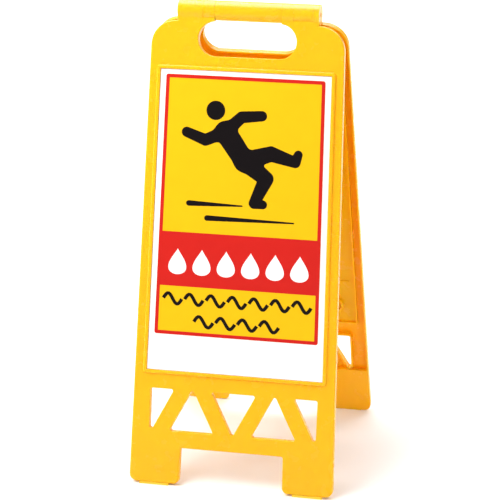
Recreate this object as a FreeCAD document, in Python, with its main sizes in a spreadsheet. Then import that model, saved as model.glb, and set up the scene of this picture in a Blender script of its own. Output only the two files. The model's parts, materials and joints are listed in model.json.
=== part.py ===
import FreeCAD, Part
import Sketcher
import math
import os

# Folding A-frame floor sign: two moulded leaves, alike but for their knuckles, hinge on two short pins
# inside a carry bar.
# World frame: millimetres, +Z up, X across the sign, front leaf towards -Y, floor at Z = 0.
# Leaf frame, used by every piece of a leaf: hinge axis on X, leaf hanging down -Z, outer face towards -Y.
# "drop" is a distance down the leaf from the hinge axis, "depth" is a distance outwards from the plane
# where the two leaves meet when the sign is folded.

DIMENSIONS = [
    ("open_angle", 13.0, "tilt of each leaf from the vertical, degrees"),
    ("leaf_length", 652.0, "drop of the feet's lower edge"),
    ("half_top", 132.0, "half width of a leaf at the hinge axis"),
    ("half_foot", 143.4, "half width of a leaf at its feet"),
    ("rim_depth", 0.5, "depth of the flange's rim, half the gap of the folded leaves"),
    ("face_depth", 10.1, "depth of the outer face"),
    ("wall", 2.2, "moulded wall"),
    ("face_round", 1.6, "rounding of the outer face's edges"),
    ("hole_round", 1.0, "rounding of the cut-outs' outer edges"),
    ("shoulder_drop", 15.0, "drop of the shoulders"),
    ("shoulder_round", 34.0, "shoulder radius"),
    ("neck_drop", 8.0, "drop of the wall under the hinge bar"),
    ("bar_half", 97.0, "half length of the hinge bar"),
    ("band_drop", 18.5, "lower edge of the solid band under the hinge bar"),
    ("web_drop", 13.85, "lower end of the webs that carry the knuckles"),
    ("web_top", 6.0, "upper end of those webs, inside the knuckle"),
    ("foot_top_drop", 590.0, "drop where the hollow leaf ends"),
    ("foot_fill_drop", 580.2, "drop where the solid foot begins, in the wall under the windows"),
    ("arch_drop", 601.0, "drop of the cut-out between the feet"),
    ("arch_half", 72.0, "half width of the cut-out between the feet at its top"),
    ("arch_round", 2.5, "upper corner radius of the cut-out between the feet"),
    ("foot_outer_round", 10.0, "outer corner radius of a foot"),
    ("foot_inner_round", 8.0, "inner corner radius of a foot"),
    ("slot_centre", 44.0, "half distance between the hand slot's arc centres"),
    ("slot_drop", 38.0, "drop of the hand slot's centre line"),
    ("slot_radius", 23.4, "hand slot's end radius"),
    ("window_top", 519.7, "drop of the lattice windows' upper edge"),
    ("window_bottom", 578.2, "drop of the lattice windows' lower edge"),
    ("window_pitch", 57.6, "distance between neighbouring windows' centres"),
    ("window_half", 31.4, "half base of a window"),
    ("window_sharp", 61.0, "height of a window to its sharp tip"),
    ("window_side", 117.0, "upright side of the outermost windows"),
    ("window_round", 2.6, "window corner radius"),
    ("plate_top", 80.5, "drop of the sign plate's upper edge"),
    ("plate_bottom", 493.7, "drop of the sign plate's lower edge"),
    ("plate_half_top", 117.7, "half width of the plate recess at its top"),
    ("plate_half_bottom", 123.2, "half width of the plate recess at its bottom"),
    ("plate_thick", 3.0, "sign plate thickness"),
    ("plate_gap", 0.4, "clearance round the sign plate"),
    ("tray_depth", 5.5, "depth of the tray's inner face"),
    ("recess", 2.2, "plate recess below the outer face"),
    ("ring_depth", 2.2, "depth of the ring that stands round the tray's inner face"),
    ("ring_inner", 2.8, "distance from the plate recess to that ring"),
    ("lip_width", 5.4, "width of the raised lip round the plate"),
    ("lip_height", 2.8, "height of the raised lip above the outer face"),
    ("lip_corner", 5.0, "lip corner radius"),
    ("lip_outer_round", 2.4, "rounding of the lip's outer edge"),
    ("lip_inner_round", 0.9, "rounding of the lip's inner edge"),
    ("label_margin", 8.3, "plate left uncovered beside the label"),
    ("label_top", 87.3, "drop of the label's upper edge"),
    ("label_bottom", 443.0, "drop of the label's lower edge"),
    ("label_corner", 3.0, "label corner radius"),
    ("label_thick", 0.3, "label film thickness"),
    ("barrel_radius", 13.5, "hinge knuckle and grip radius"),
    ("barrel_gap", 0.3, "clearance between a leaf and the other leaf's knuckles"),
    ("barrel_blend", 16.0, "fillet between knuckle and outer face"),
    ("inner_start", 46.2, "inner knuckle, end next to the grip"),
    ("inner_end", 62.0, "inner knuckle, end next to the middle knuckle"),
    ("middle_start", 62.2, "outer knuckle, inner end"),
    ("middle_end", 89.0, "rear leaf's outer knuckle, outer end"),
    ("ear_start", 89.2, "front leaf's end knuckle, inner end"),
    ("pin_radius", 3.0, "hinge pin radius"),
    ("pin_play", 0.05, "radial play of a pin in the knuckles that turn on it"),
    ("pin_start", 37.0, "inner end of a hinge pin"),
    ("pin_end", 95.5, "outer end of a hinge pin"),
    ("pin_chamfer", 0.6, "chamfer of a hinge pin"),
    ("dog_radius", 9.0, "radius of the stop dog on an inner knuckle"),
    ("dog_start", 70.0, "where the stop dog starts, degrees above the inward horizontal"),
    ("dog_angle", 40.0, "width of the stop dog, degrees"),
    ("dog_height", 2.5, "length of the stop dog"),
    ("dog_play", 0.3, "clearance round the stop dog in its pocket"),
    ("open_play", 0.3, "play left at the open stop, degrees"),
    ("fold_play", 2.0, "play left past the folded position, degrees"),
    ("grip_half", 46.0, "half length of the grip"),
    ("grip_wall", 2.6, "grip shell wall"),
    ("grip_end", 11.0, "length of the solid ends that hold the pins"),
    ("grip_seam", 8.2, "drop of the seam between grip shell and closure"),
    ("grip_tab", 5.0, "height of the closure's locating tabs"),
    ("grip_tab_across", 8.0, "width of those tabs"),
    ("grip_tab_along", 6.0, "length of those tabs along the bar"),
    ("grip_tab_pitch", 24.0, "distance between those tabs"),
    ("grip_edge", 0.6, "rounding of the grip's ends"),
    ("pad_inner", 87.3, "foot pad, inner end"),
    ("pad_outer", 128.7, "foot pad, outer end"),
    ("pad_thick", 3.2, "foot pad thickness at its front edge"),
    ("pad_inset", 0.3, "foot pad set back from the leaf's faces"),
    ("stud_radius", 1.75, "foot pad stud radius"),
    ("stud_length", 7.0, "foot pad stud length"),
    ("stud_inset", 10.0, "stud distance from the pad's ends"),
    ("socket_across", 96.0, "closing socket and peg, distance from the leaf's centre line"),
    ("socket_drop", 467.0, "closing socket and peg, drop"),
    ("socket_outer", 13.0, "closing socket outer radius"),
    ("socket_inner", 10.5, "closing socket inner radius"),
    ("peg_radius", 9.0, "closing peg radius"),
    ("peg_height", 6.3, "height of peg and socket above the tray"),
    ("rib_drop", 426.0, "drop of the stiffening rib behind the plate"),
    ("rib_height", 1.5, "height of that rib above the tray"),
]
SIZE = {name: value for name, value, note in DIMENSIONS}
FOOT_DIRECTION = {"front": -1.0, "rear": 1.0}


def dim(name):
    """Expression that reads one cell of the sheet."""
    return "Sizes." + name


def taper(top, bottom, top_drop, bottom_drop, drop):
    """Expression for a half width that changes evenly from one drop to another."""
    return f"({top} + ({bottom} - {top}) * ({drop} - {top_drop}) / ({bottom_drop} - {top_drop}))"


def leaf_half(drop):
    """Expression for the half width of the leaf's outline."""
    return taper(dim("half_top"), dim("half_foot"), "0", dim("leaf_length"), drop)


def plate_half(drop):
    """Expression for the half width of the plate recess."""
    return taper(
        dim("plate_half_top"), dim("plate_half_bottom"), dim("plate_top"), dim("plate_bottom"), drop)


def arch_half(drop):
    """Expression for the half width between the feet, whose sides run parallel to the leaf's edges."""
    return f"({dim('arch_half')} + {leaf_half(drop)} - {leaf_half(dim('arch_drop'))})"


def make_sheet(doc):
    sheet = doc.addObject("Spreadsheet::Sheet", "Sizes")
    for row, (name, value, note) in enumerate(DIMENSIONS, start=1):
        sheet.set(f"A{row}", note)
        sheet.set(f"B{row}", str(value))
        sheet.setAlias(f"B{row}", name)
    doc.recompute()


def span(inner, outer, side):
    """From left to right, the ends of a piece that lies between two distances on one side."""
    return (inner, outer) if side > 0 else ("-" + outer, "-" + inner)


def new_body(doc, label):
    body = doc.addObject("PartDesign::Body", label)
    body.Label = label
    return body


def origin_plane(body, role):
    for feature in body.Origin.OriginFeatures:
        if feature.Role == role:
            return feature
    raise LookupError(role)


def new_sketch(body, role, name, offset="0"):
    """Sketch on one of the body's origin planes, moved along the plane's normal by an expression."""
    sketch = body.newObject("Sketcher::SketchObject", name)
    sketch.AttachmentSupport = (origin_plane(body, role), [""])
    sketch.MapMode = "FlatFace"
    sketch.setExpression("AttachmentOffset.Base.z", f"{offset} * 1mm")
    return sketch


def place_point(sketch, geometry, point, across, up, near=(1.0, 1.0)):
    """Pin one point of a sketch to two expressions; it starts from the place given by near."""
    for kind, formula, first in (("DistanceX", across, near[0]), ("DistanceY", up, near[1])):
        index = sketch.addConstraint(Sketcher.Constraint(kind, -1, 1, geometry, point, first))
        sketch.setExpression(f"Constraints[{index}]", formula)


def add_polygon(sketch, corners):
    """Closed polygon whose corners are pairs of expressions; the solver moves it into place."""
    count = len(corners)
    turn = 2 * math.pi / count
    start = [FreeCAD.Vector(math.cos(turn * i), math.sin(turn * i), 0) for i in range(count)]
    edges = [sketch.addGeometry(Part.LineSegment(start[i], start[(i + 1) % count]), False)
             for i in range(count)]
    for i in range(count):
        sketch.addConstraint(Sketcher.Constraint("Coincident", edges[i - 1], 2, edges[i], 1))
        place_point(sketch, edges[i], 1, *corners[i])


def add_circle(sketch, across, up, radius):
    """Circle whose centre and radius are expressions."""
    circle = sketch.addGeometry(Part.Circle(FreeCAD.Vector(), FreeCAD.Vector(0, 0, 1), 1.0), False)
    place_point(sketch, circle, 3, across, up)
    index = sketch.addConstraint(Sketcher.Constraint("Radius", circle, 1.0))
    sketch.setExpression(f"Constraints[{index}]", radius)


def mirrored(corners):
    """The given right-hand corners, then their mirror images, as one closed polygon."""
    return corners + [(f"-({across})", up) for across, up in reversed(corners)]


def pad(body, name, sketch, length):
    feature = body.newObject("PartDesign::Pad", name)
    feature.Profile = sketch
    feature.setExpression("Length", length)
    return feature


def pocket(body, name, sketch, length=None):
    """Pocket of a given length, or through everything both ways; the volume has to shrink."""
    doc = body.Document
    doc.recompute()
    before = body.Shape.Volume
    feature = body.newObject("PartDesign::Pocket", name)
    feature.Profile = sketch
    if length is None:
        feature.Type = "ThroughAll"
        feature.Midplane = True
    else:
        feature.setExpression("Length", length)
    doc.recompute()
    assert body.Shape.Volume < before - 0.5, f"{body.Label}: {name} cuts nothing"
    return feature


def rod(body, name, radius, start, end, kind="Additive", angle=None, turn=None):
    """Cylinder or sector along the hinge axis, from one X to another."""
    feature = body.newObject(f"PartDesign::{kind}Cylinder", name)
    feature.AttachmentSupport = (origin_plane(body, "YZ_Plane"), [""])
    feature.MapMode = "FlatFace"
    feature.setExpression("Radius", radius)
    feature.setExpression("Height", f"({end}) - ({start})")
    feature.setExpression("AttachmentOffset.Base.z", f"({start}) * 1mm")
    if angle is not None:
        feature.setExpression("Angle", angle)
        feature.setExpression("AttachmentOffset.Rotation.Angle", f"({turn}) * 1deg")
    return feature


def round_edges(body, name, base, radius, test):
    """Fillet every edge of the tip that passes the test."""
    body.Document.recompute()
    names = [f"Edge{i}" for i, edge in enumerate(base.Shape.Edges, start=1) if test(edge)]
    assert names, f"{body.Label}: {name} finds no edge"
    feature = body.newObject("PartDesign::Fillet", name)
    feature.Base = (base, names)
    feature.setExpression("Radius", radius)
    return feature


def runs_through(edge):
    """Whether a straight edge runs through the leaf's thickness."""
    box = edge.BoundBox
    return box.YLength > 0.2 and box.XLength < 0.01 and box.ZLength < 0.01


def corner_at(*corners):
    """Test for the through edges at one of the given (half width, drop) corners."""
    def test(edge):
        across, drop = abs(edge.BoundBox.XMin), -edge.BoundBox.ZMin
        return runs_through(edge) and any(math.dist((across, drop), corner) < 0.3 for corner in corners)
    return test


def is_window_corner(edge):
    tall = SIZE["window_sharp"] + 2 * SIZE["wall"]
    return (runs_through(edge) and abs(edge.BoundBox.XMin) < SIZE["window_side"] + SIZE["wall"]
            and 0 < SIZE["window_top"] + tall - -edge.BoundBox.ZMin < tall + 2 * SIZE["wall"])


def lies_at(edge, depth):
    """Whether an edge lies in the plane at one depth of the leaf."""
    return edge.BoundBox.YLength < 0.01 and abs(-edge.BoundBox.YMin - depth) < 0.01


def place_of(edge):
    """Distance from the centre line and drop of an edge's centre."""
    return abs(edge.CenterOfMass.x), -edge.CenterOfMass.z


def is_face_outline(edge):
    across, drop = place_of(edge)
    outside = across > SIZE["window_side"] + 1 or drop > SIZE["foot_top_drop"] + 1
    on_shoulder = across > SIZE["bar_half"] and drop < SIZE["shoulder_drop"] + 1
    return lies_at(edge, SIZE["face_depth"]) and (outside or on_shoulder)


def is_hole_edge(edge):
    across, drop = place_of(edge)
    slot_end = SIZE["slot_centre"] + SIZE["slot_radius"] + 1
    in_slot = across < slot_end and SIZE["shoulder_drop"] - 1 < drop < SIZE["plate_top"] - 10
    in_window = (across < SIZE["window_side"] + 1
                 and SIZE["plate_bottom"] + 10 < drop < SIZE["foot_top_drop"] - 1)
    return lies_at(edge, SIZE["face_depth"]) and (in_slot or in_window)


def is_lip_top(outer):
    """Test for the edges of the lip's top: the outer loop or the inner one."""
    def test(edge):
        across, drop = place_of(edge)
        half = SIZE["plate_half_top"] + (drop - SIZE["plate_top"]) * (
            SIZE["plate_half_bottom"] - SIZE["plate_half_top"]) / (SIZE["plate_bottom"] - SIZE["plate_top"])
        middle = SIZE["lip_width"] / 2
        beyond = (across > half + middle or drop < SIZE["plate_top"] - middle
                  or drop > SIZE["plate_bottom"] + middle)
        return lies_at(edge, SIZE["face_depth"] + SIZE["lip_height"]) and beyond == outer
    return test


def half_at(drop):
    """Half width of the leaf's outline, as a number."""
    return SIZE["half_top"] + (SIZE["half_foot"] - SIZE["half_top"]) * drop / SIZE["leaf_length"]


def add_upper_shell(body):
    """Hollow upper leaf: outline, shoulders, hand slot, lattice windows, shelled from the inside."""
    sketch = new_sketch(body, "XZ_Plane", "UpperOutline", dim("rim_depth"))
    add_polygon(sketch, mirrored([
        (leaf_half(dim("foot_top_drop")), "-" + dim("foot_top_drop")),
        (leaf_half(dim("shoulder_drop")), "-" + dim("shoulder_drop")),
        (dim("bar_half"), "-" + dim("shoulder_drop")),
        (dim("bar_half"), "-" + dim("neck_drop"))]))
    slab = pad(body, "UpperSlab", sketch, f"{dim('face_depth')} - {dim('rim_depth')}")
    shoulder = corner_at((half_at(SIZE["shoulder_drop"]), SIZE["shoulder_drop"]))
    round_edges(body, "Shoulders", slab, dim("shoulder_round"), shoulder)
    pocket(body, "HandSlot", hand_slot_sketch(body))
    windows = pocket(body, "Windows", windows_sketch(body))
    rounded = round_edges(body, "WindowCorners", windows, dim("window_round"), is_window_corner)
    body.Document.recompute()
    inner = [i for i, face in enumerate(rounded.Shape.Faces, start=1)
             if face.BoundBox.YLength < 0.01 and abs(face.BoundBox.YMin + SIZE["rim_depth"]) < 0.01]
    shell = body.newObject("PartDesign::Thickness", "Shell")
    shell.Base = (rounded, [f"Face{i}" for i in inner])
    shell.Reversed = True
    shell.Join = "Arc"
    shell.setExpression("Value", dim("wall"))
    return shell


def hand_slot_sketch(body):
    """Stadium: two end arcs joined by straight lines."""
    sketch = new_sketch(body, "XZ_Plane", "HandSlotOutline")
    centre, drop, radius = SIZE["slot_centre"], SIZE["slot_drop"], SIZE["slot_radius"]
    normal = FreeCAD.Vector(0, 0, 1)
    quarter = math.pi / 2
    arcs = []
    for side in (1, -1):
        circle = Part.Circle(FreeCAD.Vector(side * centre, -drop, 0), normal, radius)
        arcs.append(sketch.addGeometry(Part.ArcOfCircle(circle, -side * quarter, side * quarter), False))
    right, left = arcs
    for up, (first, second) in ((radius, ((right, 2), (left, 1))), (-radius, ((left, 2), (right, 1)))):
        side = 1 if up > 0 else -1
        line = Part.LineSegment(FreeCAD.Vector(side * centre, up - drop, 0),
                                FreeCAD.Vector(-side * centre, up - drop, 0))
        line = sketch.addGeometry(line, False)
        sketch.addConstraint(Sketcher.Constraint("Tangent", first[0], first[1], line, 1))
        sketch.addConstraint(Sketcher.Constraint("Tangent", line, 2, second[0], second[1]))
    place_point(sketch, right, 3, dim("slot_centre"), "-" + dim("slot_drop"), (centre, -drop))
    place_point(sketch, left, 3, "-" + dim("slot_centre"), "-" + dim("slot_drop"), (-centre, -drop))
    sketch.addConstraint(Sketcher.Constraint("Equal", right, left))
    index = sketch.addConstraint(Sketcher.Constraint("Radius", right, radius))
    sketch.setExpression(f"Constraints[{index}]", dim("slot_radius"))
    return sketch


def windows_sketch(body):
    """Row of triangles that point up and down in turn, with half triangles at the ends."""
    sketch = new_sketch(body, "XZ_Plane", "WindowOutlines")
    pitch, half, side = dim("window_pitch"), dim("window_half"), dim("window_side")
    top, bottom, sharp = dim("window_top"), dim("window_bottom"), dim("window_sharp")
    add_polygon(sketch, [("-" + half, "-" + top), (half, "-" + top), ("0", f"-({top} + {sharp})")])
    for sign in ("", "-"):
        add_polygon(sketch, [
            (f"{sign}({pitch} - {half})", "-" + bottom),
            (f"{sign}({pitch} + {half})", "-" + bottom),
            (f"{sign}{pitch}", f"-({bottom} - {sharp})")])
        start = f"(2 * {pitch} - {half})"
        add_polygon(sketch, [
            (f"{sign}{start}", "-" + top),
            (f"{sign}{side}", "-" + top),
            (f"{sign}{side}", f"-({top} + ({side} - {start}) * {sharp} / {half})")])
    return sketch


def add_foot(body):
    """Solid lower end of the leaf with two feet and the cut-out between them."""
    sketch = new_sketch(body, "XZ_Plane", "FootOutline", dim("rim_depth"))
    add_polygon(sketch, mirrored([
        (arch_half(dim("arch_drop")), "-" + dim("arch_drop")),
        (arch_half(dim("leaf_length")), "-" + dim("leaf_length")),
        (leaf_half(dim("leaf_length")), "-" + dim("leaf_length")),
        (leaf_half(dim("foot_fill_drop")), "-" + dim("foot_fill_drop"))]))
    foot = pad(body, "Feet", sketch, f"{dim('face_depth')} - {dim('rim_depth')}")
    length, arch = SIZE["leaf_length"], SIZE["arch_half"]
    inner = arch + half_at(length) - half_at(SIZE["arch_drop"])
    for name, radius, corner in (
            ("FootOuterCorners", "foot_outer_round", (half_at(length), length)),
            ("FootInnerCorners", "foot_inner_round", (inner, length)),
            ("ArchCorners", "arch_round", (arch, SIZE["arch_drop"]))):
        foot = round_edges(body, name, foot, dim(radius), corner_at(corner))


def add_band(body):
    """Solid band under the hinge bar, cut clear of the hand slot, then the face's edges rounded."""
    sketch = new_sketch(body, "XZ_Plane", "BandOutline", dim("rim_depth"))
    add_polygon(sketch, mirrored([
        (dim("bar_half"), "-" + dim("neck_drop")), (dim("bar_half"), "-" + dim("band_drop"))]))
    pad(body, "Band", sketch, f"{dim('face_depth')} - {dim('rim_depth')}")
    cut = pocket(body, "HandSlotThroughBand", hand_slot_sketch(body))
    outline = round_edges(body, "FaceOutline", cut, dim("face_round"), is_face_outline)
    round_edges(body, "HoleEdges", outline, dim("hole_round"), is_hole_edge)
    notch = new_sketch(body, "XZ_Plane", "GripNotchOutline")
    add_polygon(notch, mirrored([
        (dim("inner_start"), f"{dim('web_top')} - {dim('neck_drop')}"),
        (dim("inner_start"), "-" + dim("slot_drop"))]))
    pocket(body, "GripNotch", notch)


def add_tray(body):
    """Sunken tray for the sign plate: floor and ring behind the face, recess and raised lip in front."""
    lip = dim("lip_width")

    def outline(sketch, spread):
        top, bottom = f"({dim('plate_top')} - {spread})", f"({dim('plate_bottom')} + {spread})"
        add_polygon(sketch, mirrored([
            (f"{plate_half(top)} + {spread}", "-" + top),
            (f"{plate_half(bottom)} + {spread}", "-" + bottom)]))

    floor = new_sketch(body, "XZ_Plane", "TrayFloorOutline", dim("tray_depth"))
    outline(floor, lip)
    pad(body, "TrayFloor", floor, f"{dim('face_depth')} - {dim('recess')} - {dim('tray_depth')} + 0.1")
    ring = new_sketch(body, "XZ_Plane", "RingOutline", dim("ring_depth"))
    outline(ring, lip)
    outline(ring, dim("ring_inner"))
    pad(body, "TrayRing", ring, f"{dim('tray_depth')} - {dim('ring_depth')} + 0.1")
    recess = new_sketch(body, "XZ_Plane", "RecessOutline", dim("face_depth"))
    outline(recess, "0")
    pocket(body, "PlateRecess", recess, dim("recess"))
    rim = new_sketch(body, "XZ_Plane", "LipOutline", dim("face_depth"))
    outline(rim, lip)
    outline(rim, "0")
    raised = pad(body, "Lip", rim, dim("lip_height"))

    def is_lip_corner(edge):
        across, drop = abs(edge.BoundBox.XMin), -edge.BoundBox.ZMin
        high = -edge.BoundBox.YMin > SIZE["face_depth"] + 1
        beyond = drop < SIZE["plate_top"] - 1 or drop > SIZE["plate_bottom"] + 1
        return runs_through(edge) and high and beyond and across > SIZE["plate_half_top"]

    raised = round_edges(body, "LipCorners", raised, dim("lip_corner"), is_lip_corner)
    raised = round_edges(body, "LipOuterEdge", raised, dim("lip_outer_round"), is_lip_top(True))
    round_edges(body, "LipInnerEdge", raised, dim("lip_inner_round"), is_lip_top(False))


def add_tray_back(body):
    """Closing socket, closing peg and stiffening rib on the tray's inner face."""
    height, socket = dim("peg_height"), new_sketch(
        body, "XZ_Plane", "SocketOutline", f"({dim('tray_depth')} - {dim('peg_height')})")
    for radius in ("socket_outer", "socket_inner"):
        add_circle(socket, "-" + dim("socket_across"), "-" + dim("socket_drop"), dim(radius))
    pad(body, "Socket", socket, height)
    peg = new_sketch(body, "XZ_Plane", "PegOutline", f"({dim('tray_depth')} - {height})")
    add_circle(peg, dim("socket_across"), "-" + dim("socket_drop"), dim("peg_radius"))
    pad(body, "Peg", peg, height)
    rib = new_sketch(body, "XZ_Plane", "RibOutline", f"({dim('tray_depth')} - {dim('rib_height')})")
    add_polygon(rib, mirrored([
        (dim("plate_half_top"), "-" + dim("rib_drop")),
        (dim("plate_half_top"), f"-({dim('rib_drop')} + {dim('wall')})")]))
    pad(body, "Rib", rib, dim("rib_height"))


def web_sketch(body, name, start):
    """Web between a knuckle and the leaf, with a hollow blend where the barrel meets the outer face."""
    sketch = new_sketch(body, "YZ_Plane", name, start)
    barrel, blend, face = dim("barrel_radius"), dim("barrel_blend"), dim("face_depth")
    centre_drop = f"sqrt(({barrel} + {blend}) ^ 2 - ({face} + {blend}) ^ 2)"
    share = f"{barrel} / ({barrel} + {blend})"
    corners = [
        (f"-{face}", f"-({centre_drop})"),
        (f"-{face}", "-" + dim("web_drop")),
        ("-" + dim("rim_depth"), "-" + dim("web_drop")),
        ("-" + dim("rim_depth"), "-" + dim("web_top")),
        (f"-({face} + {blend}) * {share}", f"-({centre_drop}) * {share}")]
    reach, out = SIZE["barrel_radius"] + SIZE["barrel_blend"], SIZE["face_depth"] + SIZE["barrel_blend"]
    down = math.sqrt(reach ** 2 - out ** 2)
    start_at = [(-SIZE["face_depth"], -down), (-SIZE["face_depth"], -SIZE["web_drop"]),
                (-SIZE["rim_depth"], -SIZE["web_drop"]), (-SIZE["rim_depth"], -SIZE["web_top"]),
                (-out * SIZE["barrel_radius"] / reach, -down * SIZE["barrel_radius"] / reach)]
    points = [FreeCAD.Vector(across, up, 0) for across, up in start_at]
    lines = [sketch.addGeometry(Part.LineSegment(a, b), False) for a, b in zip(points, points[1:])]
    for line, following in zip(lines, lines[1:]):
        sketch.addConstraint(Sketcher.Constraint("Coincident", line, 2, following, 1))
    for line, corner, near in zip(lines, corners, start_at):
        place_point(sketch, line, 1, *corner, near)
    place_point(sketch, lines[-1], 2, *corners[-1], start_at[-1])
    circle = Part.Circle(FreeCAD.Vector(-out, -down, 0), FreeCAD.Vector(0, 0, 1), SIZE["barrel_blend"])
    arc = sketch.addGeometry(Part.ArcOfCircle(circle, 0.0, math.atan2(down, out)), False)
    sketch.addConstraint(Sketcher.Constraint("Coincident", arc, 1, lines[0], 1))
    sketch.addConstraint(Sketcher.Constraint("Coincident", arc, 2, lines[-1], 2))
    index = sketch.addConstraint(Sketcher.Constraint("Radius", arc, SIZE["barrel_blend"]))
    sketch.setExpression(f"Constraints[{index}]", blend)
    return sketch


def add_hinge(body, end_knuckles, bore_play):
    """Knuckles with their webs, the stop dog and its pocket, and the bores for the pins.

    The leaf with the end knuckles carries both ends of the bar; the other one fits between them.
    """
    reach = f"({dim('bar_half')} + 1)"
    cleared = f"{dim('barrel_radius')} + {dim('barrel_gap')}"
    rod(body, "KnuckleClearance", cleared, "-" + reach, reach, "Subtractive")
    outer_end = dim("bar_half") if end_knuckles else dim("middle_end")
    knuckles = {
        "Outer": ("-" + outer_end, "-" + dim("middle_start")),
        "Inner": (dim("inner_start"), dim("inner_end"))}
    if end_knuckles:
        knuckles["Ear"] = (dim("ear_start"), dim("bar_half"))
    for name, (start, end) in knuckles.items():
        rod(body, name + "Knuckle", dim("barrel_radius"), start, end)
        pad(body, name + "Web", web_sketch(body, name + "WebOutline", start), f"{end} - {start}")
    end, height, play = dim("inner_end"), dim("dog_height"), dim("dog_play")
    rod(body, "StopDog", dim("dog_radius"), f"{end} - 0.1", f"{end} + {height}",
        "Additive", dim("dog_angle"), dim("dog_start"))
    swept = f"{dim('dog_angle')} + 2 * {dim('open_angle')} + {dim('open_play')} + {dim('fold_play')}"
    rod(body, "StopPocket", f"{dim('dog_radius')} + {play}", f"-({end} + {height} + {play})",
        f"-{dim('middle_start')} + 0.1", "Subtractive", swept, f"{dim('dog_start')} - {dim('fold_play')}")
    bore = f"{dim('pin_radius')} + {bore_play}"
    rod(body, "RightBore", bore, dim("inner_start") + " - 1", reach, "Subtractive")
    rod(body, "LeftBore", bore, "-" + reach, f"1 - {dim('middle_start')}", "Subtractive")


def stud(body, name, across, kind):
    """Upright cylinder from the leaf's lower edge, for a foot pad's stud or its hole."""
    feature = body.newObject(f"PartDesign::{kind}Cylinder", name)
    feature.AttachmentSupport = (origin_plane(body, "XY_Plane"), [""])
    feature.MapMode = "FlatFace"
    feature.setExpression("Radius", dim("stud_radius"))
    feature.setExpression("Height", dim("stud_length"))
    feature.setExpression("AttachmentOffset.Base.x", f"({across}) * 1mm")
    feature.setExpression("AttachmentOffset.Base.y", f"-({dim('rim_depth')} + {dim('face_depth')}) / 2 * 1mm")
    feature.setExpression("AttachmentOffset.Base.z", f"-{dim('leaf_length')} * 1mm")


def stud_places():
    """Where a pad's two studs stand, as distances from the leaf's centre line."""
    return {
        "Inner": f"({dim('pad_inner')} + {dim('stud_inset')})",
        "Outer": f"({dim('pad_outer')} - {dim('stud_inset')})"}


def make_leaf(doc, label, end_knuckles, bore_play):
    body = new_body(doc, label)
    add_upper_shell(body)
    add_foot(body)
    add_band(body)
    add_tray(body)
    add_tray_back(body)
    add_hinge(body, end_knuckles, bore_play)
    for name, across in stud_places().items():
        for side, sign in (("Left", "-"), ("Right", "")):
            stud(body, f"StudHole{name}{side}", sign + across, "Subtractive")
    return body


def make_plate(doc, label):
    body = new_body(doc, label)
    gap = dim("plate_gap")
    top, bottom = f"({dim('plate_top')} + {gap})", f"({dim('plate_bottom')} - {gap})"
    sketch = new_sketch(body, "XZ_Plane", "PlateOutline", f"({dim('face_depth')} - {dim('recess')})")
    add_polygon(sketch, mirrored([
        (f"{plate_half(top)} - {gap}", "-" + top), (f"{plate_half(bottom)} - {gap}", "-" + bottom)]))
    pad(body, "Plate", sketch, dim("plate_thick"))
    return body


def make_label(doc, label):
    body = new_body(doc, label)
    top, bottom, margin = dim("label_top"), dim("label_bottom"), dim("label_margin")
    sketch = new_sketch(
        body, "XZ_Plane", "LabelOutline", f"({dim('face_depth')} - {dim('recess')} + {dim('plate_thick')})")
    add_polygon(sketch, mirrored([
        (f"{plate_half(top)} - {margin}", "-" + top), (f"{plate_half(bottom)} - {margin}", "-" + bottom)]))
    film = pad(body, "Film", sketch, dim("label_thick"))
    round_edges(body, "FilmCorners", film, dim("label_corner"), runs_through)
    return body


def make_pin(doc, label, side):
    body = new_body(doc, label)
    start, end = span(dim("pin_start"), dim("pin_end"), side)
    shank = rod(body, "Shank", dim("pin_radius"), start, end)
    doc.recompute()
    chamfer = body.newObject("PartDesign::Chamfer", "Ends")
    chamfer.Base = (shank, [f"Edge{i}" for i, edge in enumerate(shank.Shape.Edges, start=1)
                            if edge.BoundBox.XLength < 0.01])
    chamfer.setExpression("Size", dim("pin_chamfer"))
    return body


def cut_bar(body, name, low, high):
    """Cut the bar away between two heights, along its whole length."""
    sketch = new_sketch(body, "YZ_Plane", name + "Outline")
    wide = "2 * " + dim("barrel_radius")
    add_polygon(sketch, mirrored([(wide, low), (wide, high)]))
    pocket(body, name, sketch)


def make_grip(doc, label):
    """Grip shell: a round bar, hollow between its solid ends and open below the seam."""
    body = new_body(doc, label)
    half, radius = dim("grip_half"), dim("barrel_radius")
    bar = rod(body, "Bar", radius, "-" + half, half)
    round_edges(body, "BarEnds", bar, dim("grip_edge"), lambda edge: edge.BoundBox.XLength < 0.01)
    hollow = f"({half} - {dim('grip_end')})"
    rod(body, "Hollow", f"{radius} - {dim('grip_wall')}", "-" + hollow, hollow, "Subtractive")
    cut_bar(body, "OpenSide", "-2 * " + radius, "-" + dim("grip_seam"))
    rod(body, "RightBore", dim("pin_radius"), dim("pin_start") + " - 0.5", half + " + 1", "Subtractive")
    rod(body, "LeftBore", dim("pin_radius"), f"-{half} - 1", f"0.5 - {dim('pin_start')}", "Subtractive")
    return body


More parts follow.
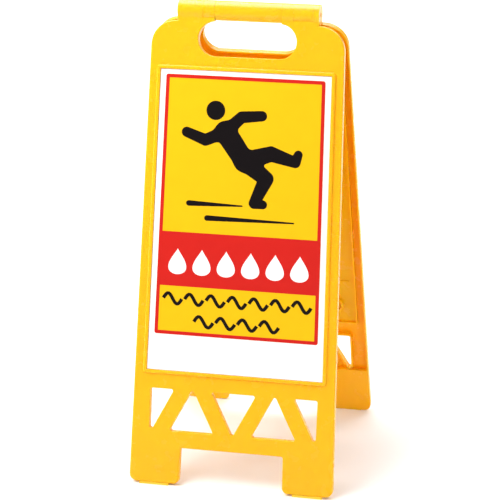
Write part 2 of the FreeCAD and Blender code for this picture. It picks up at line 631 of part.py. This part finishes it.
def make_grip_closure(doc, label):
    """Strip that closes the grip's underside, with tabs that reach into the hollow."""
    body = new_body(doc, label)
    half, radius = dim("grip_half"), dim("barrel_radius")
    bar = rod(body, "Bar", radius, "-" + half, half)
    round_edges(body, "BarEnds", bar, dim("grip_edge"), lambda edge: edge.BoundBox.XLength < 0.01)
    seam = dim("grip_seam")
    cut_bar(body, "UpperPart", "-" + seam, "2 * " + radius)
    for index in (-1, 0, 1):
        tab = body.newObject("PartDesign::AdditiveBox", f"Tab{index + 2}")
        tab.AttachmentSupport = (origin_plane(body, "XY_Plane"), [""])
        tab.MapMode = "FlatFace"
        tab.setExpression("Length", dim("grip_tab_along"))
        tab.setExpression("Width", dim("grip_tab_across"))
        tab.setExpression("Height", f"{dim('grip_tab')} + 1")
        tab.setExpression("AttachmentOffset.Base.x",
                          f"({index} * {dim('grip_tab_pitch')} - {dim('grip_tab_along')} / 2) * 1mm")
        tab.setExpression("AttachmentOffset.Base.y", f"-{dim('grip_tab_across')} / 2 * 1mm")
        tab.setExpression("AttachmentOffset.Base.z", f"-({seam} + 1) * 1mm")
    return body


def make_foot_pad(doc, label, side):
    """Pad under one foot: level underside, two studs pressed up into the foot."""
    body = new_body(doc, label)
    start, end = span(dim("pad_inner"), dim("pad_outer"), side)
    front = f"({dim('face_depth')} - {dim('pad_inset')})"
    back = f"({dim('rim_depth')} + {dim('pad_inset')})"
    angle = f"({dim('open_angle')} * 1deg)"
    sketch = new_sketch(body, "YZ_Plane", "PadOutline", start)
    lower = dim("leaf_length") + " + ({0} + ({1} - {2}) * sin{3}) / cos{3}"
    add_polygon(sketch, [
        ("-" + front, "-" + dim("leaf_length")),
        ("-" + back, "-" + dim("leaf_length")),
        ("-" + back, "-(" + lower.format(dim("pad_thick"), back, dim("face_depth"), angle) + ")"),
        ("-" + front, "-(" + lower.format(dim("pad_thick"), front, dim("face_depth"), angle) + ")")])
    pad(body, "Pad", sketch, f"{end} - {start}")
    for name, across in stud_places().items():
        stud(body, "Stud" + name, ("" if side > 0 else "-") + across, "Additive")
    return body


def leaf_placement(end):
    """Where a leaf stands: hinge axis at its height, leaf tilted, the rear one turned half round."""
    tilt = math.radians(SIZE["open_angle"])
    height = SIZE["pad_thick"] + SIZE["leaf_length"] * math.cos(tilt) - SIZE["face_depth"] * math.sin(tilt)
    turned = FreeCAD.Rotation(FreeCAD.Vector(0, 0, 1), 180.0 if end == "rear" else 0.0)
    tilted = FreeCAD.Rotation(FreeCAD.Vector(1, 0, 0), FOOT_DIRECTION[end] * SIZE["open_angle"])
    return FreeCAD.Placement(FreeCAD.Vector(0, 0, height), tilted.multiply(turned))


def check(doc, bodies):
    """Stop if any object failed or any sub-part isn't one valid solid."""
    for item in doc.Objects:
        failed = {"Invalid", "Error"} & set(item.State)
        assert not failed, f"{item.Label}: {item.State}"
    for body in bodies:
        shape = body.Shape
        assert not shape.isNull() and shape.isValid(), body.Label
        assert len(shape.Solids) == 1, f"{body.Label}: {len(shape.Solids)} solids"


def main():
    doc = FreeCAD.newDocument("FloorSign")
    make_sheet(doc)
    bodies = []
    for end in ("front", "rear"):
        held = "0" if end == "front" else dim("pin_play")
        pieces = [
            make_leaf(doc, end + "_leaf", end == "front", held),
            make_plate(doc, end + "_plate"),
            make_label(doc, end + "_label")]
        for name, side in (("left", -1), ("right", 1)):
            own_side = side if end == "front" else -side
            pieces.append(make_foot_pad(doc, f"foot_pad_{end}_{name}", own_side))
        if end == "front":
            pieces.append(make_grip(doc, "handle_grip"))
            pieces.append(make_grip_closure(doc, "grip_closure"))
            pieces.append(make_pin(doc, "hinge_pin_left", -1))
            pieces.append(make_pin(doc, "hinge_pin_right", 1))
        for body in pieces:
            body.Placement = leaf_placement(end)
        bodies += pieces
    doc.recompute()
    check(doc, bodies)
    os.makedirs("parts", exist_ok=True)
    for body in bodies:
        body.Shape.exportStep(f"parts/{body.Label}.step")
        box = body.Shape.BoundBox
        print(f"{body.Label}: volume {body.Shape.Volume / 1000:.1f} cm3, x {box.XMin:.1f}..{box.XMax:.1f}  "
              f"y {box.YMin:.1f}..{box.YMax:.1f}  z {box.ZMin:.1f}..{box.ZMax:.1f}")


main()
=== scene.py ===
import json
import math

import bmesh
import bpy
import numpy as np
from mathutils import Matrix, Vector
from mathutils.geometry import delaunay_2d_cdt


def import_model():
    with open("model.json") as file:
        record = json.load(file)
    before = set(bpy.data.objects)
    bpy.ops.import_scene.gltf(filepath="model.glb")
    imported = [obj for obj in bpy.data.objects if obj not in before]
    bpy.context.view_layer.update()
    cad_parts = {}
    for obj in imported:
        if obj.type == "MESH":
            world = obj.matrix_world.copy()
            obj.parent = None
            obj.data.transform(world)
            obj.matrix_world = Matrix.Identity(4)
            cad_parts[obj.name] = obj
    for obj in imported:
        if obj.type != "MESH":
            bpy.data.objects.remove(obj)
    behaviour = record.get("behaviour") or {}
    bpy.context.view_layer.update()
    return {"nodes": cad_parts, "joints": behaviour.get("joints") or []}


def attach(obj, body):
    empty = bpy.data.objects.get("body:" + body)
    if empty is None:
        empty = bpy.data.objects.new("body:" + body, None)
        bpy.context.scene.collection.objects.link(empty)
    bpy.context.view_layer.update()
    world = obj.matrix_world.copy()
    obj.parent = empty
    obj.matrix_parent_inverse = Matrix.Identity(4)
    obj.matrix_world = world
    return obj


MM = 0.001
SAME_POINT = 1e-6
CORNER_STEPS = 6

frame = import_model()
nodes = frame["nodes"]
scene = bpy.context.scene

# ---------------------------------------------------------------- leaf frame
# The print is laid out on a leaf in millimetres: across from its middle line, drop down the leaf from the
# hinge axis, depth outwards from the plane where the two leaves meet.
HALF_ANGLE = math.radians(13.0)
FILM_DEPTH = 11.2


def hinge_z():
    return frame["joints"][0]["pos_m"][2]


def leaf_matrix(end):
    """From a leaf's own axes (across, into the leaf, up from the hinge) to the sign's frame at rest."""
    turned = Matrix.Rotation(math.pi if end == "rear" else 0.0, 4, "Z")
    sign = 1.0 if end == "rear" else -1.0
    tilted = Matrix.Rotation(sign * HALF_ANGLE, 4, "X")
    return Matrix.Translation((0, 0, hinge_z())) @ tilted @ turned


# ---------------------------------------------------------------- materials
class Nodes:
    """Small helper around one material's node tree."""

    def __init__(self, name):
        self.material = bpy.data.materials.new(name)
        self.material.use_nodes = True
        self.tree = self.material.node_tree
        self.shader = self.tree.nodes["Principled BSDF"]
        self.coords = self.add("ShaderNodeTexCoord").outputs["Object"]

    def add(self, kind, **inputs):
        node = self.tree.nodes.new(kind)
        for key, value in inputs.items():
            node.inputs[key].default_value = value
        return node

    def link(self, source, target):
        self.tree.links.new(source, target)

    def noise(self, scale, detail=2.0, rough=0.5):
        node = self.add("ShaderNodeTexNoise", Scale=scale, Detail=detail, Roughness=rough)
        self.link(self.coords, node.inputs["Vector"])
        return node.outputs["Fac"]

    def ramp(self, source, stops):
        """Colours along a factor, given as (place, colour)."""
        node = self.add("ShaderNodeValToRGB")
        ramp = node.color_ramp
        while len(ramp.elements) < len(stops):
            ramp.elements.new(0.5)
        for element, (place, colour) in zip(ramp.elements, stops):
            element.position = place
            element.color = (*colour, 1.0)
        self.link(source, node.inputs["Fac"])
        return node.outputs["Color"]

    def spread(self, source, low, high):
        """A factor from 0 to 1 spread over low to high."""
        node = self.add("ShaderNodeMapRange")
        node.inputs["To Min"].default_value = low
        node.inputs["To Max"].default_value = high
        self.link(source, node.inputs["Value"])
        return node.outputs["Result"]

    def bump(self, height, strength, distance):
        node = self.add("ShaderNodeBump")
        node.inputs["Strength"].default_value = strength
        node.inputs["Distance"].default_value = distance
        self.link(height, node.inputs["Height"])
        self.link(node.outputs["Normal"], self.shader.inputs["Normal"])


def linear(red, green, blue):
    """Display colour out of 255 to linear light."""
    def one(value):
        value /= 255.0
        return value / 12.92 if value <= 0.04045 else ((value + 0.055) / 1.055) ** 2.4
    return tuple(one(value) for value in (red, green, blue))


def yellow_plastic():
    n = Nodes("moulded_yellow")
    drift = n.noise(9.0, 3.0, 0.55)
    n.link(n.ramp(drift, [(0.35, (0.90, 0.455, 0.0015)), (0.65, (0.92, 0.470, 0.0025))]),
           n.shader.inputs["Base Color"])
    n.link(n.spread(n.noise(60.0, 3.0), 0.25, 0.29), n.shader.inputs["Roughness"])
    n.shader.inputs["Subsurface Weight"].default_value = 0.5
    n.shader.inputs["Subsurface Radius"].default_value = (1.0, 0.35, 0.06)
    n.shader.inputs["Subsurface Scale"].default_value = 0.006
    n.shader.inputs["Specular IOR Level"].default_value = 0.35
    n.bump(n.noise(1400.0, 2.0), 0.10, 0.0002)
    return n.material


def white_sheet():
    n = Nodes("white_sheet")
    n.link(n.ramp(n.noise(30.0), [(0.3, (0.90, 0.90, 0.90)), (0.7, (0.93, 0.93, 0.93))]),
           n.shader.inputs["Base Color"])
    n.link(n.spread(n.noise(200.0), 0.28, 0.36), n.shader.inputs["Roughness"])
    n.bump(n.noise(900.0), 0.05, 0.0001)
    return n.material


def ink(name, colour, rough=0.35):
    n = Nodes(name)
    low = tuple(c * 0.97 for c in colour)
    n.link(n.ramp(n.noise(45.0), [(0.3, low), (0.7, colour)]), n.shader.inputs["Base Color"])
    n.link(n.spread(n.noise(300.0), rough - 0.04, rough + 0.04), n.shader.inputs["Roughness"])
    n.shader.inputs["Specular IOR Level"].default_value = 0.12
    n.bump(n.noise(2500.0), 0.04, 0.0001)
    return n.material


def steel():
    n = Nodes("pin_steel")
    n.link(n.ramp(n.noise(400.0), [(0.3, (0.52, 0.53, 0.54)), (0.7, (0.66, 0.66, 0.67))]),
           n.shader.inputs["Base Color"])
    n.shader.inputs["Metallic"].default_value = 1.0
    n.link(n.spread(n.noise(800.0), 0.22, 0.34), n.shader.inputs["Roughness"])
    return n.material


def soft_pad():
    n = Nodes("soft_pad")
    n.link(n.ramp(n.noise(80.0), [(0.3, (0.84, 0.50, 0.02)), (0.7, (0.92, 0.57, 0.03))]),
           n.shader.inputs["Base Color"])
    n.link(n.spread(n.noise(300.0), 0.55, 0.7), n.shader.inputs["Roughness"])
    n.bump(n.noise(1500.0), 0.2, 0.0002)
    return n.material


def pale_floor():
    n = Nodes("pale_floor")
    n.link(n.ramp(n.noise(2.0), [(0.3, (0.86, 0.86, 0.86)), (0.7, (0.88, 0.88, 0.88))]),
           n.shader.inputs["Base Color"])
    n.shader.inputs["Roughness"].default_value = 0.7
    return n.material


PLASTIC = yellow_plastic()
PLATE = white_sheet()
YELLOW_INK = ink("yellow_ink", linear(234, 182, 14), 0.5)
RED_INK = ink("red_ink", linear(199, 32, 25), 0.5)
BLACK_INK = ink("black_ink", linear(14, 8, 10), 0.5)
WHITE_INK = ink("white_ink", (0.90, 0.90, 0.90))
STEEL = steel()
PAD = soft_pad()

NODE_MATERIALS = {
    "front_leaf": PLASTIC, "rear_leaf": PLASTIC, "handle_grip": PLASTIC, "grip_closure": PLASTIC,
    "hinge_pin_left": STEEL, "hinge_pin_right": STEEL,
    "front_plate": PLATE, "rear_plate": PLATE, "front_label": YELLOW_INK, "rear_label": YELLOW_INK,
    "foot_pad_front_left": PAD, "foot_pad_front_right": PAD,
    "foot_pad_rear_left": PAD, "foot_pad_rear_right": PAD}
for name, material in NODE_MATERIALS.items():
    for slot in nodes[name].material_slots:
        slot.material = material


# ---------------------------------------------------------------- flat print
def capsule(points, first, first_radius, last, last_radius):
    """Distance to a limb whose radius changes from one end to the other."""
    a, b = np.array(first), np.array(last)
    along = np.clip(((points - a) @ (b - a)) / ((b - a) @ (b - a)), 0.0, 1.0)
    nearest = a + along[..., None] * (b - a)
    return np.linalg.norm(points - nearest, axis=-1) - (first_radius + along * (last_radius - first_radius))


def blend(a, b, reach):
    """Union of two distance fields with a smooth inside corner."""
    share = np.clip(0.5 + 0.5 * (b - a) / reach, 0.0, 1.0)
    return b + (a - b) * share - reach * share * (1.0 - share)


def limb(points, path):
    """Distance to a chain of tapered, round-ended limbs."""
    return np.minimum.reduce([capsule(points, *first, *last) for first, last in zip(path, path[1:])])


# The figure: places on the leaf, lengths in millimetres, turns in degrees clockwise from straight up.
HIP = (3, 200)
TORSO_TURN, NECK_HEIGHT, SHOULDER_HEIGHT = -36, 55, 47
HEAD_TURN, HEAD_DISTANCE, HEAD_RADIUS = -24, 24, 13.0
HIP_RADIUS, CHEST_RADIUS = 14.0, 15.0
# Each limb is a chain of (length, turn), with radii at its start and after each part.
ARMS = (((30, 46), (28, 84)), ((30, -114), (28, -70)))
ARM_RADII = (9.0, 8.0, 7.0)
LEGS = (((38, 72), (35, 106), (11, 20)), ((38, 126), (37, 204), (12, 96)))
LEG_RADII = (13.0, 10.5, 7.5, 6.0)
LIMB_BLEND = 5.0
# Skid strokes: left and right end, drop.
STROKES = ((-72, 2, 261), (-46, 74, 280))
STROKE_RADII = (3.8, 1.0)
# Corners of the areas where outlines are looked for, and the grid's step there.
FIGURE_AREA = ((-95, 105), (98, 280))
STROKE_AREA = ((-85, 255), (85, 294))
GRID_STEP = 0.8


def joint(start, length, turn):
    """The point at a length from start, turned clockwise from straight up by so many degrees."""
    angle = math.radians(turn)
    return start[0] + length * math.sin(angle), start[1] - length * math.cos(angle)


def chain(start, parts, radii):
    """A limb's joints with their radii."""
    places = [start]
    for length, turn in parts:
        places.append(joint(places[-1], length, turn))
    return list(zip(places, radii))


def figure_field(points):
    """Distance to a generic slipping person: round-ended limbs set out from the hip."""
    neck = joint(HIP, NECK_HEIGHT, TORSO_TURN)
    shoulder = joint(HIP, SHOULDER_HEIGHT, TORSO_TURN)
    head_centre = np.array(joint(neck, HEAD_DISTANCE, HEAD_TURN))
    head = np.linalg.norm(points - head_centre, axis=-1) - HEAD_RADIUS
    body = limb(points, [(HIP, HIP_RADIUS), (shoulder, CHEST_RADIUS)])
    for arm in ARMS:
        body = blend(body, limb(points, chain(shoulder, arm, ARM_RADII)), LIMB_BLEND)
    for leg in LEGS:
        body = blend(body, limb(points, chain(HIP, leg, LEG_RADII)), LIMB_BLEND)
    return np.minimum(body, head)


def stroke_field(points):
    """Distance to two plain tapering strokes under the figure."""
    thick, thin = STROKE_RADII
    upper, lower = (limb(points, [((left, drop), thick), ((right, drop), thin)])
                    for left, right, drop in STROKES)
    return np.minimum(upper, lower)


def contour(field, low, high):
    """Closed outlines of a distance field's zero level, by marching squares."""
    across = np.arange(low[0], high[0] + GRID_STEP, GRID_STEP)
    drop = np.arange(low[1], high[1] + GRID_STEP, GRID_STEP)
    grid = np.stack(np.meshgrid(across, drop, indexing="ij"), axis=-1)
    value = field(grid)
    inside = value < 0
    follows = {}

    for i in range(len(across) - 1):
        for j in range(len(drop) - 1):
            ring = [(i, j), (i + 1, j), (i + 1, j + 1), (i, j + 1), (i, j)]
            marks = [inside[p] for p in ring]
            if all(marks) or not any(marks):
                continue
            leave = [k for k in range(4) if marks[k] and not marks[k + 1]]
            enter = [k for k in range(4) if not marks[k] and marks[k + 1]]
            for k in leave:
                back = min(enter, key=lambda e: (k - e) % 4)
                start, end = (tuple(sorted(ring[e:e + 2])) for e in (k, back))
                follows[start] = end

    def crossing(edge):
        """Where the level crosses a grid edge."""
        p, q = edge
        share = value[p] / (value[p] - value[q])
        return tuple(grid[p] + share * (grid[q] - grid[p]))

    loops = []
    while follows:
        first, edge = follows.popitem()
        loop = [crossing(first)]
        while edge != first:
            loop.append(crossing(edge))
            edge = follows.pop(edge)
        loops.append(loop)
    return loops


def rounded(corners, radius):
    """Polygon with every corner rounded."""
    result = []
    count = len(corners)
    for i in range(count):
        here = Vector(corners[i])
        before, after = Vector(corners[i - 1]), Vector(corners[(i + 1) % count])
        to_before, to_after = (before - here).normalized(), (after - here).normalized()
        half = to_before.angle(to_after) / 2
        start = here + to_before * radius / math.tan(half)
        end = here + to_after * radius / math.tan(half)
        centre = here + (to_before + to_after).normalized() * radius / math.sin(half)
        a, b = start - centre, end - centre
        sweep = a.angle_signed(b)
        for k in range(CORNER_STEPS + 1):
            turned = Matrix.Rotation(-sweep * k / CORNER_STEPS, 2) @ a
            result.append(tuple(centre + turned))
    return result


def times_inside(outlines, places):
    """How many of the closed outlines go round each place."""
    count = np.zeros(len(places), dtype=int)
    across, drop = places[:, 0], places[:, 1]
    for outline in outlines:
        inside = np.zeros(len(places), dtype=bool)
        for (ax, ay), (bx, by) in zip(outline, outline[1:] + outline[:1]):
            if ay != by:
                spans = (ay > drop) != (by > drop)
                inside ^= spans & (across < ax + (drop - ay) / (by - ay) * (bx - ax))
        count += inside
    return count


def flat_piece(name, outlines, end, material, depth, thick):
    """Thin printed shape: outlines on the leaf, with holes as inner loops, from a depth outwards."""
    points, edges = [], []
    for outline in outlines:
        base = len(points)
        points += [Vector(p) for p in outline]
        edges += [(base + i, base + (i + 1) % len(outline)) for i in range(len(outline))]
    flat, _, faces, _, _, _ = delaunay_2d_cdt(points, edges, [], 0, SAME_POINT)
    mesh = bmesh.new()
    low = [mesh.verts.new((p.x * MM, -depth * MM, -p.y * MM)) for p in flat]
    centres = np.array([sum((flat[i] for i in face), Vector((0, 0))) / 3 for face in faces])
    for face, loops_round in zip(faces, times_inside(outlines, centres)):
        if loops_round % 2:
            mesh.faces.new([low[i] for i in face])
    bmesh.ops.delete(mesh, geom=[v for v in mesh.verts if not v.link_faces], context="VERTS")
    bmesh.ops.recalc_face_normals(mesh, faces=mesh.faces)
    raised = bmesh.ops.extrude_face_region(mesh, geom=list(mesh.faces))
    moved = [item for item in raised["geom"] if isinstance(item, bmesh.types.BMVert)]
    bmesh.ops.translate(mesh, verts=moved, vec=(0, -thick * MM, 0))
    bmesh.ops.recalc_face_normals(mesh, faces=mesh.faces)
    mesh.transform(leaf_matrix(end))
    data = bpy.data.meshes.new(name)
    mesh.to_mesh(data)
    mesh.free()
    data.materials.append(material)
    piece = bpy.data.objects.new(name, data)
    scene.collection.objects.link(piece)
    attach(piece, end)


# The film's corners on the leaf and the sizes of the print, in millimetres.
FILM_TOP, FILM_BOTTOM = 87.3, 443.0
FILM_HALF_TOP, FILM_HALF_BOTTOM = 109.49, 114.22
FILM_INSET, FILM_CORNER = 0.05, 2.9
BORDER, FIELD_CORNER = 4.9, 0.5
BAND = (301.2, 375.8)
PRINT_THICK = 0.08
# Generic rows in place of lettering: first place across, pitch, length, drop, count.
RIPPLE_ROWS = ((-103, 30, 26, 393.3, 7), (-59, 30.5, 27, 423.3, 4))
RIPPLE_HEIGHT, RIPPLE_STROKE, RIPPLE_STEPS = 14.5, 4.8, 14
WATER_FIRST, WATER_PITCH, WATER_DROP, WATER_COUNT = -85, 34, 341.7, 6
WATER_WIDTH, WATER_HEIGHT, WATER_STEPS = 29, 35.5, 48
WATER_BULGE = 0.62


def film_half(drop, inset):
    share = (drop - FILM_TOP) / (FILM_BOTTOM - FILM_TOP)
    return FILM_HALF_TOP + share * (FILM_HALF_BOTTOM - FILM_HALF_TOP) - inset


def tapered(top, bottom, inset, radius):
    """Four-sided outline that follows the film's taper between two drops."""
    corners = [
        (-film_half(top, inset), top), (-film_half(bottom, inset), bottom),
        (film_half(bottom, inset), bottom), (film_half(top, inset), top)]
    return rounded(corners, radius)


def water_outline(across):
    """A water drop that points up."""
    outline = []
    for k in range(WATER_STEPS):
        angle = 2 * math.pi * k / WATER_STEPS
        rise = 0.5 - 0.5 * math.cos(angle)
        outline.append((across + WATER_WIDTH * WATER_BULGE * math.sin(angle) * (math.sin(angle / 2) ** 1.5),
                        WATER_DROP + WATER_HEIGHT * (rise - 0.5)))
    return outline


def ripple_outline(left, right, drop):
    """One stroke that rises and falls once."""
    centre = []
    for k in range(RIPPLE_STEPS + 1):
        share = k / RIPPLE_STEPS
        centre.append(Vector((left + share * (right - left),
                              drop - RIPPLE_HEIGHT / 2 * math.sin(2 * math.pi * share))))
    upper, lower = [], []
    for k, point in enumerate(centre):
        ahead, behind = centre[min(k + 1, RIPPLE_STEPS)], centre[max(k - 1, 0)]
        side = (ahead - behind).orthogonal().normalized() * RIPPLE_STROKE / 2
        upper.append(tuple(point + side))
        lower.append(tuple(point - side))
    return upper + lower[::-1]


def print_sheet(end):
    """The red, black and white print of one film. The film itself is the yellow."""
    red = [
        tapered(FILM_TOP + FILM_INSET, FILM_BOTTOM - FILM_INSET, FILM_INSET, FILM_CORNER),
        tapered(FILM_TOP + BORDER, BAND[0], BORDER, FIELD_CORNER),
        tapered(BAND[1], FILM_BOTTOM - BORDER, BORDER, FIELD_CORNER)]
    flat_piece(end + "_print_red", red, end, RED_INK, FILM_DEPTH, PRINT_THICK)
    black = contour(figure_field, *FIGURE_AREA) + contour(stroke_field, *STROKE_AREA)
    for first, pitch, length, drop, count in RIPPLE_ROWS:
        for k in range(count):
            left = pitch * k + first
            black.append(ripple_outline(left, left + length, drop))
    flat_piece(end + "_print_black", black, end, BLACK_INK, FILM_DEPTH, PRINT_THICK)
    white = [water_outline(WATER_PITCH * k + WATER_FIRST) for k in range(WATER_COUNT)]
    flat_piece(end + "_print_white", white, end, WHITE_INK, FILM_DEPTH + PRINT_THICK, PRINT_THICK)


for end in ("front", "rear"):
    print_sheet(end)


# ---------------------------------------------------------------- stage
def floor():
    bpy.ops.mesh.primitive_plane_add(size=40)
    plane = bpy.context.object
    plane.name = "floor"
    plane.data.materials.append(pale_floor())


def area_light(name, place, target, size, power, diffuse=True, glossy=True):
    """A rectangular lamp turned to its target, which may leave out diffuse light or gloss."""
    data = bpy.data.lights.new(name, "AREA")
    data.shape = "RECTANGLE"
    data.size, data.size_y = size
    data.energy = power
    lamp = bpy.data.objects.new(name, data)
    lamp.location = place
    lamp.rotation_euler = (Vector(target) - Vector(place)).to_track_quat("-Z", "Y").to_euler()
    lamp.visible_diffuse = diffuse
    lamp.visible_glossy = glossy
    scene.collection.objects.link(lamp)


def world(strength):
    sky = bpy.data.worlds.new("studio")
    sky.use_nodes = True
    sky.node_tree.nodes["Background"].inputs["Color"].default_value = (1, 1, 1, 1)
    sky.node_tree.nodes["Background"].inputs["Strength"].default_value = strength
    scene.world = sky


def camera():
    """Camera at a distance from the point it is aimed at, to the right of the front and above it."""
    aim, distance = Vector((-0.00294, -0.0034, 0.2979)), 3.0093
    azimuth, elevation, roll = math.radians(13.14), math.radians(19.78), math.radians(-0.68)
    ahead = Vector((-math.sin(azimuth) * math.cos(elevation),
                    math.cos(azimuth) * math.cos(elevation), -math.sin(elevation)))
    right = Vector((math.cos(azimuth), math.sin(azimuth), 0))
    up = right.cross(ahead)
    side = right * math.cos(roll) + up * math.sin(roll)
    top = up * math.cos(roll) - right * math.sin(roll)
    data = bpy.data.cameras.new("camera")
    data.sensor_fit = "HORIZONTAL"
    data.sensor_width = 36.0
    data.lens = 155.6
    body = bpy.data.objects.new("camera", data)
    turned = Matrix((side, top, -ahead)).transposed().to_4x4()
    body.matrix_world = Matrix.Translation(aim - ahead * distance) @ turned
    scene.collection.objects.link(body)
    scene.camera = body


floor()
world(0.55)
area_light("key", (-0.74, -0.74, 1.6), (0, 0, 0.42), (1.1, 1.1), 29, glossy=False)
area_light("ceiling", (0, 0.575, 2.0), (0, 0.575, 0), (3.0, 1.85), 165, diffuse=False)
area_light("left", (-1.6, -0.2, 0.6), (0, 0, 0.35), (0.3, 1.5), 8)
area_light("right", (1.4, -0.5, 0.25), (0.1, 0.05, 0.3), (0.8, 0.8), 4.5, glossy=False)
area_light("background", (0, 3.2, 3.2), (0, 3.6, 0), (6.0, 3.0), 270, glossy=False)
camera()
scene.view_settings.view_transform = "Standard"
